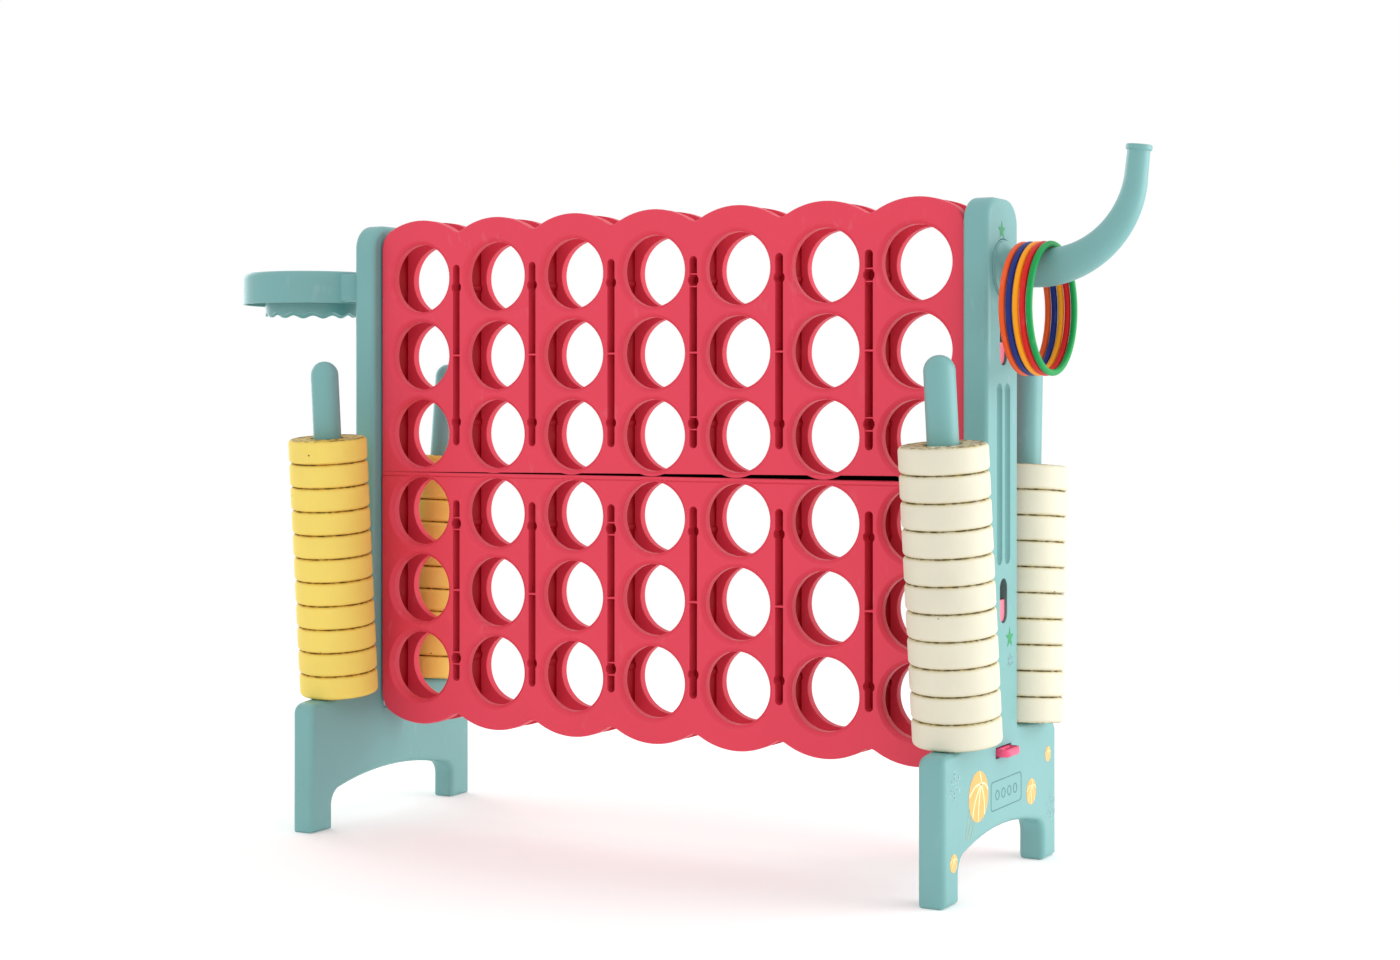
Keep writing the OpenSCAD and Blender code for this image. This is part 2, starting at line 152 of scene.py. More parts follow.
class ColourSettings(bpy.types.PropertyGroup):
    """Colours of the mouldings, discs, rings and prints."""
    frame: colour("Frame", "Side frames, poles, hoop and arm", srgb(116, 170, 169))
    board: colour("Board", "Board panels", srgb(226, 66, 87))
    # The wall colour is the board's red darkened with painted shade, for the shade between the columns.
    wall: colour("Wall", "Walls between the columns", srgb(152, 6, 24))
    # This dark colour is painted shade on the inside walls of the hook slots.
    slot_shade: colour("Hollow", "Dark inside of the hook slots", srgb(104, 124, 124))
    tab: colour("Tab", "Hooks in the side frames", srgb(238, 124, 146))
    slider: colour("Slider", "Release slider", srgb(240, 76, 122))
    yellow: colour("Yellow Disc", "Yellow discs", srgb(240, 213, 104))
    cream: colour("Cream Disc", "Cream discs", srgb(222, 217, 196))
    ring_orange: colour("Orange Ring", "Orange ring", srgb(238, 88, 28))
    ring_blue: colour("Blue Ring", "Blue ring", srgb(20, 42, 124))
    ring_yellow: colour("Yellow Ring", "Yellow ring", srgb(248, 160, 10))
    ring_red: colour("Red Ring", "Red ring", srgb(216, 24, 22))
    ring_green: colour("Green Ring", "Green ring", srgb(6, 152, 74))
    ball_print: colour("Ball Print", "Printed balls", srgb(238, 176, 92))
    line_print: colour("Line Print", "Lines on the printed balls", srgb(250, 236, 190))
    snow_print: colour("Snow Print", "Printed snowflakes", srgb(150, 192, 196))
    streak_print: colour("Streak Print", "Printed streaks behind the big ball", srgb(160, 172, 150))
    star_print: colour("Star Print", "Printed stars", srgb(40, 150, 92))
    badge_print: colour("Badge Print", "Printed badge", srgb(70, 122, 124))


class StageSettings(bpy.types.PropertyGroup):
    """Floor, lights and camera."""
    turn: bpy.props.FloatProperty(
        name="Turn", description="Turn of the camera about the upright axis",
        default=math.radians(29.313), subtype="ANGLE")
    lens: bpy.props.FloatProperty(name="Lens", description="Focal length in millimetres", default=56.98)
    key: bpy.props.FloatProperty(name="Key", description="Power of the key light", default=40.0)
    rim: bpy.props.FloatProperty(name="Rim", description="Power of the light on the left edges", default=26.0)
    world: bpy.props.FloatProperty(name="World", description="Brightness of the surroundings", default=1.0)
    floor: colour("Floor", "Floor", srgb(251, 251, 251))
    floor_glow: bpy.props.FloatProperty(name="Floor Glow", description="Own light of the floor", default=0.1)
    floor_fade: length("Floor Fade", "Distance from the middle where the floor has faded out", 1.9)


class LawnGameSettings(bpy.types.PropertyGroup):
    """All the settings of the set."""
    moulding: bpy.props.PointerProperty(type=MouldingSettings)
    disc: bpy.props.PointerProperty(type=DiscSettings)
    hoop: bpy.props.PointerProperty(type=HoopSettings)
    toss: bpy.props.PointerProperty(type=TossSettings)
    colours: bpy.props.PointerProperty(type=ColourSettings)
    stage: bpy.props.PointerProperty(type=StageSettings)


def settings():
    return bpy.context.scene.lawn_game


# Shader node groups

def new_group(name, inputs, outputs):
    """An empty shader node group with named sockets, and its input and output nodes."""
    tree = bpy.data.node_groups.new(name, "ShaderNodeTree")
    for label, kind, default in inputs:
        socket = tree.interface.new_socket(label, in_out="INPUT", socket_type=kind)
        socket.default_value = default
    for label, kind in outputs:
        tree.interface.new_socket(label, in_out="OUTPUT", socket_type=kind)
    return tree, tree.nodes.new("NodeGroupInput"), tree.nodes.new("NodeGroupOutput")


def math_node(tree, operation, first, second=None):
    """A Math node whose inputs are sockets or numbers. Returns its output socket."""
    node = tree.nodes.new("ShaderNodeMath")
    node.operation = operation
    for socket, value in zip(node.inputs, (first, second)):
        if isinstance(value, bpy.types.NodeSocket):
            tree.links.new(value, socket)
        elif value is not None:
            socket.default_value = value
    return node.outputs[0]


def mix_colours(tree, blend, factor, first, second):
    """A colour Mix node. Factor and colours are sockets or plain values."""
    node = tree.nodes.new("ShaderNodeMix")
    node.data_type = "RGBA"
    node.blend_type = blend
    for socket, value in zip((node.inputs[0], node.inputs[6], node.inputs[7]), (factor, first, second)):
        if isinstance(value, bpy.types.NodeSocket):
            tree.links.new(value, socket)
        else:
            socket.default_value = value
    return node.outputs[2]


def noise_node(tree, scale, detail, where):
    """A noise texture on the given coordinate socket. Returns its value socket."""
    node = tree.nodes.new("ShaderNodeTexNoise")
    node.inputs["Detail"].default_value = detail
    tree.links.new(where, node.inputs["Vector"])
    if isinstance(scale, bpy.types.NodeSocket):
        tree.links.new(scale, node.inputs["Scale"])
    else:
        node.inputs["Scale"].default_value = scale
    return node.outputs[0]


def remap(tree, value, low, high, to_low, to_high):
    """A clamped Map Range node. Returns its output socket."""
    node = tree.nodes.new("ShaderNodeMapRange")
    tree.links.new(value, node.inputs["Value"])
    limits = zip(("From Min", "From Max", "To Min", "To Max"), (low, high, to_low, to_high))
    for label, limit in limits:
        if isinstance(limit, bpy.types.NodeSocket):
            tree.links.new(limit, node.inputs[label])
        else:
            node.inputs[label].default_value = limit
    return node.outputs["Result"]


def object_point(tree):
    return tree.nodes.new("ShaderNodeTexCoord").outputs["Object"]


def clouding_group():
    """Soft cloudy change of a moulded colour, with a few pale rubbed streaks."""
    tree, given, made = new_group(
        "Moulded Clouding",
        [("Colour", "NodeSocketColor", (0.5, 0.5, 0.5, 1)), ("Cloud Scale", "NodeSocketFloat", 6.0),
         ("Cloud Amount", "NodeSocketFloat", 0.05), ("Rub Amount", "NodeSocketFloat", 0.1)],
        [("Colour", "NodeSocketColor"), ("Rub Mask", "NodeSocketFloat")])
    place = object_point(tree)
    cloud = noise_node(tree, given.outputs["Cloud Scale"], 4, place)
    dark = math_node(tree, "SUBTRACT", 1.0, given.outputs["Cloud Amount"])
    light = math_node(tree, "ADD", 1.0, given.outputs["Cloud Amount"])
    shade = remap(tree, cloud, 0.3, 0.7, dark, light)
    clouded = mix_colours(tree, "MULTIPLY", 1.0, given.outputs["Colour"], shade)
    stretch = tree.nodes.new("ShaderNodeMapping")
    stretch.inputs["Scale"].default_value = (1.0, 1.0, 0.35)
    tree.links.new(place, stretch.inputs["Vector"])
    rubs = noise_node(tree, 90.0, 5, stretch.outputs["Vector"])
    patches = noise_node(tree, 9.0, 1, place)
    mask = math_node(
        tree, "MULTIPLY", remap(tree, rubs, 0.60, 0.68, 0.0, 1.0), remap(tree, patches, 0.5, 0.68, 0.0, 1.0))
    mask = math_node(tree, "MULTIPLY", mask, given.outputs["Rub Amount"])
    rubbed = mix_colours(tree, "MIX", mask, clouded, (0.85, 0.85, 0.85, 1))
    tree.links.new(rubbed, made.inputs["Colour"])
    tree.links.new(mask, made.inputs["Rub Mask"])
    return tree


def grain_group():
    """Height of a fine moulded grain on a slow ripple."""
    tree, given, made = new_group(
        "Moulded Grain",
        [("Grain Scale", "NodeSocketFloat", 700.0), ("Ripple Scale", "NodeSocketFloat", 30.0),
         ("Ripple Amount", "NodeSocketFloat", 0.5)],
        [("Height", "NodeSocketFloat")])
    place = object_point(tree)
    grain = noise_node(tree, given.outputs["Grain Scale"], 2, place)
    ripple = noise_node(tree, given.outputs["Ripple Scale"], 1, place)
    waved = math_node(tree, "MULTIPLY", ripple, given.outputs["Ripple Amount"])
    tree.links.new(math_node(tree, "ADD", grain, waved), made.inputs["Height"])
    return tree


def pits_group():
    """Sparse small pits, such as the air holes of a rough moulding."""
    tree, given, made = new_group(
        "Moulding Pits",
        [("Spacing", "NodeSocketFloat", 40.0), ("Pit Size", "NodeSocketFloat", 0.08),
         ("Share", "NodeSocketFloat", 0.1)],
        [("Mask", "NodeSocketFloat")])
    cells = tree.nodes.new("ShaderNodeTexVoronoi")
    tree.links.new(object_point(tree), cells.inputs["Vector"])
    tree.links.new(given.outputs["Spacing"], cells.inputs["Scale"])
    picked = tree.nodes.new("ShaderNodeSeparateColor")
    tree.links.new(cells.outputs["Color"], picked.inputs[0])
    near = math_node(tree, "LESS_THAN", cells.outputs["Distance"], given.outputs["Pit Size"])
    chosen = math_node(tree, "LESS_THAN", picked.outputs[0], given.outputs["Share"])
    tree.links.new(math_node(tree, "MULTIPLY", near, chosen), made.inputs["Mask"])
    return tree


GROUP_MAKERS = {
    "Moulded Clouding": clouding_group, "Moulded Grain": grain_group, "Moulding Pits": pits_group}


def place_group(tree, name, **values):
    """A node that uses one of the shared groups, with its own plain values."""
    node = tree.nodes.new("ShaderNodeGroup")
    node.node_tree = bpy.data.node_groups.get(name) or GROUP_MAKERS[name]()
    for label, value in values.items():
        node.inputs[label.replace("_", " ")].default_value = value
    return node


# Materials

def bump_from(tree, height, strength, depth, shader):
    bump = tree.nodes.new("ShaderNodeBump")
    bump.inputs["Strength"].default_value = strength
    bump.inputs["Distance"].default_value = depth
    tree.links.new(height, bump.inputs["Height"])
    tree.links.new(bump.outputs["Normal"], shader.inputs["Normal"])


def new_material(name):
    material = bpy.data.materials.new(name)
    material.use_nodes = True
    return material, material.node_tree, material.node_tree.nodes["Principled BSDF"]


def moulded_material(name, base, roughness, shine=0.5, cloud=0.05, rub=0.12, grain=0.12, ripple=0.5):
    """Moulded plastic: cloudy colour, rubbed streaks, fine grain and a slow ripple."""
    material, tree, shader = new_material(name)
    clouding = place_group(
        tree, "Moulded Clouding", Colour=base, Cloud_Scale=7.0, Cloud_Amount=cloud, Rub_Amount=rub)
    tree.links.new(clouding.outputs["Colour"], shader.inputs["Base Color"])
    worn = remap(tree, clouding.outputs["Rub Mask"], 0.0, 0.3, roughness, min(1.0, roughness + 0.2))
    tree.links.new(worn, shader.inputs["Roughness"])
    surface = place_group(tree, "Moulded Grain", Grain_Scale=620.0, Ripple_Scale=26.0, Ripple_Amount=ripple)
    bump_from(tree, surface.outputs["Height"], grain, 0.4 * MM, shader)
    shader.inputs["Specular IOR Level"].default_value = shine
    return material


def disc_material(name, base, crease_shade_tint):
    """Rough foam-filled plastic of a disc: pitted and grainy, with painted shade near its flat sides, in the
    creases where discs meet.
    """
    material, tree, shader = new_material(name)
    clouding = place_group(
        tree, "Moulded Clouding", Colour=base, Cloud_Scale=16.0, Cloud_Amount=0.035, Rub_Amount=0.1)
    # The edge attribute is 1 on the flat sides, where discs meet; the darker tint mixed in there is painted
    # shade.
    edge = tree.nodes.new("ShaderNodeAttribute")
    edge.attribute_name = "edge"
    uneven = remap(tree, noise_node(tree, 60.0, 4, object_point(tree)), 0.3, 0.7, 0.15, 0.85)
    crease_shade = math_node(tree, "MULTIPLY", edge.outputs["Fac"], uneven)
    crease_shaded = mix_colours(tree, "MIX", crease_shade, clouding.outputs["Colour"], crease_shade_tint)
    # A dark broken line close to the flat sides is painted shade in the creases between discs.
    broken = remap(tree, noise_node(tree, 150.0, 3, object_point(tree)), 0.4, 0.6, 0.0, 0.9)
    line = math_node(tree, "MULTIPLY", remap(tree, edge.outputs["Fac"], 0.55, 0.95, 0.0, 1.0), broken)
    lined = mix_colours(tree, "MIX", line, crease_shaded, srgb(104, 84, 34))
    # The pits are sunk in the bump and also darkened; the dark colour is painted shade inside them.
    pits = place_group(tree, "Moulding Pits", Spacing=52.0, Pit_Size=0.062, Share=0.13)
    pitted = mix_colours(tree, "MIX", pits.outputs["Mask"], lined, srgb(96, 84, 62))
    tree.links.new(pitted, shader.inputs["Base Color"])
    grain = place_group(tree, "Moulded Grain", Grain_Scale=420.0, Ripple_Scale=70.0, Ripple_Amount=1.2)
    sunk = math_node(tree, "SUBTRACT", grain.outputs["Height"], pits.outputs["Mask"])
    bump_from(tree, sunk, 0.28, 0.5 * MM, shader)
    shader.inputs["Roughness"].default_value = 0.62
    shader.inputs["Specular IOR Level"].default_value = 0.35
    return material


def print_material(name, base):
    """Thin printed ink, a little broken up."""
    material, tree, shader = new_material(name)
    clouding = place_group(
        tree, "Moulded Clouding", Colour=base, Cloud_Scale=60.0, Cloud_Amount=0.08, Rub_Amount=0.5)
    tree.links.new(clouding.outputs["Colour"], shader.inputs["Base Color"])
    shader.inputs["Roughness"].default_value = 0.45
    return material


def material_named(name):
    """The material of that name, made the first time that it is asked for."""
    ready = bpy.data.materials.get(name)
    if ready:
        return ready
    paint = settings().colours
    if name == "teal_moulding":
        return moulded_material(name, paint.frame, 0.42, cloud=0.04, rub=0.10, grain=0.12)
    if name == "red_panel":
        return moulded_material(name, paint.board, 0.46, shine=0.25, cloud=0.03, rub=0.04, grain=0.05)
    # The column walls' dark red is painted shade.
    if name == "dark_wall":
        return moulded_material(name, paint.wall, 0.5, shine=0.15, cloud=0.05, rub=0.03, grain=0.06)
    # The dark colour inside the hook slots is painted shade.
    if name == "painted_slot_shade":
        return moulded_material(name, paint.slot_shade, 0.7, cloud=0.05, rub=0.0, grain=0.1)
    if name == "pink_tab":
        return moulded_material(name, paint.tab, 0.36, cloud=0.03, rub=0.05, grain=0.06)
    if name == "pink_slider":
        return moulded_material(name, paint.slider, 0.3, shine=0.5, cloud=0.03, rub=0.08, grain=0.05)
    # The second colour of each disc material is a darker tint, painted shade in the creases between discs.
    if name == "yellow_foam":
        return disc_material(name, paint.yellow, srgb(214, 158, 40))
    if name == "cream_foam":
        return disc_material(name, paint.cream, srgb(206, 188, 118))
    if name.startswith("toss_ring_"):
        own = getattr(paint, name.removeprefix("toss_").removesuffix("_plastic"))
        return moulded_material(name, own, 0.45, shine=0.25, cloud=0.04, rub=0.05, grain=0.05)
    return print_material(name, getattr(paint, name))


# Mesh helpers

def finish_piece(name, bm, body, materials, replaced=(), sharp=math.radians(34)):
    """Makes a piece of a finished bmesh: smooth faces, sharp corners, weighted normals, body and slot."""
    bmesh.ops.recalc_face_normals(bm, faces=bm.faces)
    for face in bm.faces:
        face.smooth = True
    for edge in bm.edges:
        edge.smooth = len(edge.link_faces) != 2 or edge.calc_face_angle(0) < sharp
    mesh = bpy.data.meshes.new(name)
    bm.to_mesh(mesh)
    bm.free()
    for material in materials:
        mesh.materials.append(material_named(material))
    piece = bpy.data.objects.new(name, mesh)
    bpy.context.scene.collection.objects.link(piece)
    weighted = piece.modifiers.new("Weighted Normals", "WEIGHTED_NORMAL")
    weighted.keep_sharp = True
    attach(piece, body)
    if replaced:
        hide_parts(*replaced)
    return piece


def copy_of(node):
    """A merged copy of a CAD node, with its flat faces joined up."""
    bm = bmesh.new()
    bm.from_mesh(frame["nodes"][node].data)
    bmesh.ops.remove_doubles(bm, verts=bm.verts, dist=0.01 * MM)
    bmesh.ops.dissolve_limit(bm, angle_limit=math.radians(0.6), verts=bm.verts, edges=bm.edges)
    return bm


def round_edges(bm, width, chosen, segments=3):
    """Rounds the sharp edges for which chosen(middle, edge) is true."""
    picked = []
    for edge in bm.edges:
        if len(edge.link_faces) == 2 and abs(edge.calc_face_angle(0)) > math.radians(28):
            middle = (edge.verts[0].co + edge.verts[1].co) / 2
            if chosen(middle, edge):
                picked.append(edge)
    if picked:
        bmesh.ops.bevel(
            bm, geom=picked, offset=width, offset_type="OFFSET", affect="EDGES", segments=segments,
            profile=0.5, material=-1, clamp_overlap=False, loop_slide=False)


def revolve(bm, profile, steps, matrix, closed=False):
    """Spins (radius, height) points about Z, merges the seam and puts the result in place."""
    points = [bm.verts.new((radius, 0.0, height)) for radius, height in profile]
    pairs = list(zip(points, points[1:] + points[:1] if closed else points[1:]))
    edges = [bm.edges.new(pair) for pair in pairs]
    bmesh.ops.spin(
        bm, geom=points + edges, cent=(0, 0, 0), axis=(0, 0, 1), dvec=(0, 0, 0), angle=math.tau,
        steps=steps, use_merge=True, use_normal_flip=False, use_duplicate=False)
    bmesh.ops.remove_doubles(bm, verts=bm.verts, dist=0.005 * MM)
    bmesh.ops.transform(bm, matrix=matrix, verts=bm.verts)


def arc(centre, radius, start, end, steps):
    """Points on an arc, with angles in degrees."""
    turns = [math.radians(start + (end - start) * i / steps) for i in range(steps + 1)]
    return [(centre[0] + radius * math.cos(t), centre[1] + radius * math.sin(t)) for t in turns]


# Side frames and poles

def outline_of_frame(middle, edge):
    """Whether an edge is on a side frame's outline, and not on one of its openings."""
    along_x = abs((edge.verts[0].co - edge.verts[1].co).normalized().x) > 0.9
    if along_x:
        return False
    if middle.z > POST_HIGH.z - OPENINGS_HALF:
        return True
    return abs(middle.y) > OPENINGS_HALF or middle.z < BASE_TOP_Z


def build_frame(node, name):
    """A side frame with rounded outline and openings, soft feet and painted shade in the slots behind the
    hooks.
    """
    edges = settings().moulding
    bm = copy_of(node)
    low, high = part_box(node)

    def on_face(point):
        return min(abs(point.x - low.x), abs(point.x - high.x)) < 0.1 * MM
    round_edges(bm, edges.frame_edge, lambda m, e: on_face(m) and outline_of_frame(m, e), 4)
    round_edges(bm, edges.small_edge, lambda m, e: on_face(m) and not outline_of_frame(m, e), 2)
    round_edges(bm, 3 * MM, lambda m, e: m.z < 0.2 * MM and low.x + 6 * MM < m.x < high.x - 6 * MM, 3)
    # Faces inside the hook slots get the second material, a dark colour that is painted shade.
    for face in bm.faces:
        middle = face.calc_center_median()
        in_slot = any(abs(middle.z - z) < 26 * MM for z in HOOK_SLOT_ZS) and abs(middle.y) < 11.5 * MM
        if in_slot and low.x + 4 * MM < middle.x < high.x - 4 * MM:
            face.material_index = 1
    finish_piece(name, bm, "root", ["teal_moulding", "painted_slot_shade"], [node])


def box_middle(node):
    low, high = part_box(node)
    return (low + high) / 2


def pole_matrix(node):
    """Where a pole or disc stands: its box's middle, leaning along its lift axis."""
    lift = next(j for j in frame["joints"] if j["child"] == node)
    lean = Vector((0, 0, 1)).rotation_difference(Vector(lift["axis"]))
    return Matrix.Translation(box_middle(node)) @ lean.to_matrix().to_4x4()


def build_pole(name, first_disc, replaced):
    """A round-ended pole that starts under the lowest disc of its stack."""
    sizes = settings().disc
    lean = abs(next(j for j in frame["joints"] if j["child"] == first_disc)["axis"][2])
    gap = 0.3 * MM
    bottom = -sizes.thickness / 2 - gap
    foot = sizes.pole / 2
    top = (POLE_TOP_Z - foot - box_middle(first_disc).z) / lean + foot
    tip = sizes.pole_tip / 2
    profile = [(0.0, bottom), (foot, bottom), (foot, bottom + 4 * MM), (tip, top - tip - 8 * MM)]
    profile += arc((0.0, top - tip), tip, 0, 90, 14)[:-1]
    profile += [(0.0, top)]
    bm = bmesh.new()
    revolve(bm, profile, 48, pole_matrix(first_disc))
    finish_piece(name, bm, "root", ["teal_moulding"], replaced)


# Board

def is_outline(middle):
    """Whether a point is on the scalloped outline and not on a window or slot."""
    from_seam = abs(middle.z - SEAM_Z)
    nearest = min(range(COLUMNS), key=lambda i: abs(middle.x - MID_X - (i - 3) * COLUMN_PITCH))
    column_x = MID_X + (nearest - 3) * COLUMN_PITCH
    crest = math.hypot(middle.x - column_x, from_seam - CREST_FROM_SEAM)
    on_crest = from_seam > CREST_FROM_SEAM and crest > CREST_MIN_RADIUS
    return on_crest or abs(middle.x - MID_X) > SIDE_FROM_MIDDLE


def build_shell(node):
    """One panel of the board, with its outline, seam, windows and slots rounded."""
    edges = settings().moulding
    bm = copy_of(node)
    low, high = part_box(node)
    outer_y = low.y if node.startswith("front") else high.y

    def outer(point):
        return abs(point.y - outer_y) < 0.1 * MM

    def seam(point):
        return abs(point.z - SEAM_Z) < 0.1 * MM
    round_edges(bm, edges.panel_edge, lambda m, e: outer(m) and is_outline(m), 3)
    round_edges(bm, edges.seam_edge, lambda m, e: outer(m) and seam(m), 2)
    round_edges(bm, edges.window_edge, lambda m, e: not is_outline(m) and not seam(m) and in_window(m), 2)
    round_edges(bm, edges.small_edge, lambda m, e: outer(m) and not is_outline(m) and not in_window(m), 2)
    finish_piece(node.replace("shell", "panel"), bm, "root", ["red_panel"], [node])


def in_window(middle):
    """Whether a point lies on the wall or rim of a round window."""
    column = (middle.x - MID_X) / COLUMN_PITCH
    row = (middle.z - SEAM_Z) / ROW_PITCH
    off_x = (column - round(column)) * COLUMN_PITCH
    off_z = (row - math.floor(row) - 0.5) * ROW_PITCH
    return math.hypot(off_x, off_z) < WINDOW_REACH


def build_dividers(node):
    """Column walls and hooks: the walls are dark red with painted shade and the hooks are pink."""
    edges = settings().moulding
    bm = copy_of(node)
    round_edges(bm, edges.small_edge, lambda m, e: abs(m.x - MID_X) > HOOK_EDGES_FROM_MIDDLE, 3)
    for face in bm.faces:
        on_hook = abs(face.calc_center_median().x - MID_X) > HOOKS_FROM_MIDDLE
        face.material_index = 1 if on_hook else 0
    finish_piece(node + "_walls", bm, "root", ["dark_wall", "pink_tab"], [node])


def build_slot_ribs():
    """Thin ribs across the slots, above and below their round widenings."""
    bm = bmesh.new()
    for index, x in enumerate(DIVIDER_XS):
        for up, ribbed in ((1, RIBBED_ABOVE), (-1, RIBBED_BELOW)):
            for offset in RIB_OFFSETS if index in ribbed else ():
                made = bmesh.ops.create_cube(bm, size=1.0)["verts"]
                bmesh.ops.scale(bm, vec=(10.4 * MM, 6 * MM, 1.6 * MM), verts=made)
                place = (x, PANEL_LOW.y + 4.2 * MM, SEAM_Z + up * offset)
                bmesh.ops.translate(bm, vec=place, verts=made)
    bmesh.ops.bevel(
        bm, geom=list(bm.edges), offset=0.35 * MM, offset_type="OFFSET", affect="EDGES", segments=2,
        profile=0.5, material=-1, clamp_overlap=True)
    finish_piece("slot_ribs", bm, "root", ["red_panel"])


# Discs

def build_disc(node):
    """A disc with a shallow groove in each flat side. Its edge attribute is highest on those sides and marks
    where the material paints shade.
    """
    sizes = settings().disc
    low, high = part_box(node)
    outer = (high.x - low.x) / 2
    inner = sizes.hole / 2
    half = sizes.thickness / 2
    edge = sizes.edge
    lip = 1.2 * MM
    groove = 0.5 * MM
    profile = [(inner, half - lip)] + arc((inner + lip, half - lip), lip, 180, 90, 4)[1:]
    profile += [(inner + 7 * MM, half), (inner + 8 * MM, half - groove)]
    profile += [(outer - edge - 4 * MM, half - groove), (outer - edge - 3 * MM, half)]
    profile += arc((outer - edge, half - edge), edge, 90, 0, 7)
    profile += [(radius, -height) for radius, height in reversed(profile)]
    bm = bmesh.new()
    revolve(bm, profile, 72, Matrix.Identity(4), closed=True)
    # This attribute tells the disc material where to paint shade in the creases between discs.
    shade = bm.verts.layers.float.new("edge")
    for vert in bm.verts:
        depth = half - abs(vert.co.z)
        vert[shade] = max(0.0, 1.0 - depth / (3.2 * MM))
    bmesh.ops.transform(bm, matrix=pole_matrix(node), verts=bm.verts)
    side = "yellow" if node.startswith("yellow") else "cream"
    finish_piece(node + "_disc", bm, node, [side + "_foam"], [node])


# Hoop

def build_hoop():
    """The hoop's round band, with a skirt inside it whose lower edge is wavy."""
    sizes = settings().hoop
    outer = (HOOP_HIGH.y - HOOP_LOW.y) / 2
    centre_x = HOOP_LOW.x + outer
    top = ARM_Z + 21.5 * MM
    bottom = top - 42 * MM
    skirt_low = HOOP_LOW.z + 3 * MM
    wall = sizes.wall
    inner = sizes.skirt
    lip = 0.9 * MM
    profile = [(inner, skirt_low + lip), (inner + 0.3 * MM, skirt_low), (inner + wall - 0.3 * MM, skirt_low)]
    profile += [(inner + wall, skirt_low + lip), (inner + wall, skirt_low + 6 * MM)]
    profile += [(inner + wall, skirt_low + 12 * MM), (inner + wall, top - wall)]
    profile += [(outer - wall, top - wall), (outer - wall, bottom + lip)]
    profile += arc((outer - wall + lip, bottom + lip), lip, 180, 270, 3)[1:]
    profile += arc((outer - lip, bottom + lip), lip, 270, 360, 3)
    profile += arc((outer - sizes.rounding, top - sizes.rounding), sizes.rounding, 0, 90, 8)
    profile += arc((inner + 3 * MM, top - 3 * MM), 3 * MM, 90, 180, 4)
    profile += [(inner, skirt_low + 12 * MM), (inner, skirt_low + 6 * MM)]
    bm = bmesh.new()
    revolve(bm, profile, sizes.waves * 12, Matrix.Identity(4), closed=True)
    for vert in bm.verts:
        depth = (skirt_low + 12 * MM - vert.co.z) / (12 * MM)
        if depth > 0:
            turn = math.atan2(vert.co.y, vert.co.x)
            vert.co.z += sizes.wave * depth * (0.5 + 0.5 * math.cos(sizes.waves * turn))
    bmesh.ops.translate(bm, vec=(centre_x, 0, 0), verts=bm.verts)
    build_hoop_neck(bm, centre_x, outer, bottom, top)
    finish_piece("ball_hoop", bm, "root", ["teal_moulding"], ["hoop"])


def build_hoop_neck(bm, centre_x, outer, bottom, top):
    """The tapered neck between the band and the post, and the flange in the post's recess."""
    start_x = centre_x + outer * 0.62
    neck = bmesh.ops.create_cube(bm, size=1.0)["verts"]
    for vert in neck:
        near_post = vert.co.x > 0
        half = 34 * MM if near_post else 50 * MM
        vert.co = Vector((
            LEFT_POST_X + 0.4 * MM if near_post else start_x,
            half if vert.co.y > 0 else -half,
            top - 4 * MM if vert.co.z > 0 else bottom + 1.5 * MM))
    rims = {e for v in neck for e in v.link_edges if abs(e.verts[0].co.x - e.verts[1].co.x) > 1 * MM}
    bmesh.ops.bevel(
        bm, geom=list(rims), offset=4 * MM, offset_type="OFFSET", affect="EDGES", segments=4,
        profile=0.5, material=-1, clamp_overlap=True)
    flange = bmesh.ops.create_cone(
        bm, cap_ends=True, segments=64, radius1=33.8 * MM, radius2=33.8 * MM, depth=6 * MM)["verts"]
    turned = Matrix.Translation((LEFT_POST_X + 2.4 * MM, 0, ARM_Z))
    turned @= Matrix.Rotation(math.radians(90), 4, "Y")
    bmesh.ops.transform(bm, matrix=turned, verts=flange)


# Ring toss arm and rings

def arm_stations():
    """Centre, turn and radius of each section of the arm, from the recess to the tip."""
    sizes = settings().toss
    post_x = POST_HIGH.x
    root = sizes.root / 2
    tip = sizes.tip / 2
    bend_x = post_x + 47 * MM
    straight = [(-5.4, sizes.flange), (-0.4, sizes.flange), (0.3, sizes.flange - 0.3 * MM)]
    straight += [(1.0, sizes.flange - 1.2 * MM)]
    flare = [(x, max(root, r * MM)) for x, r in arc((14.0, 34.0), 12.0, 190, 270, 8)]
    stations = [(Vector((post_x + x * MM, 0, ARM_Z)), 0.0, radius) for x, radius in straight + flare]
    bend_steps = 44
    bend_tip = tip + 0.5 * MM
    for i in range(bend_steps + 1):
        share = i / bend_steps
        turn = sizes.turn * share
        centre = Vector((bend_x + sizes.bend * math.sin(turn), 0, ARM_Z + sizes.bend * (1 - math.cos(turn))))
        stations.append((centre, turn, root + (bend_tip - root) * share))
    along = Vector((math.cos(sizes.turn), 0, math.sin(sizes.turn)))
    start = stations[-1][0] + along * sizes.end
    lip = sizes.lip / 2
    steps = [(-1.6, tip), (-0.6, tip + 0.3 * MM), (0.2, lip - 0.6 * MM), (1.0, lip), (4.6, lip)]
    steps += [(5.5, lip - 0.4 * MM), (6.0, lip - 1.2 * MM)]
    stations += [(start + along * x * MM, sizes.turn, radius) for x, radius in steps]
    return stations


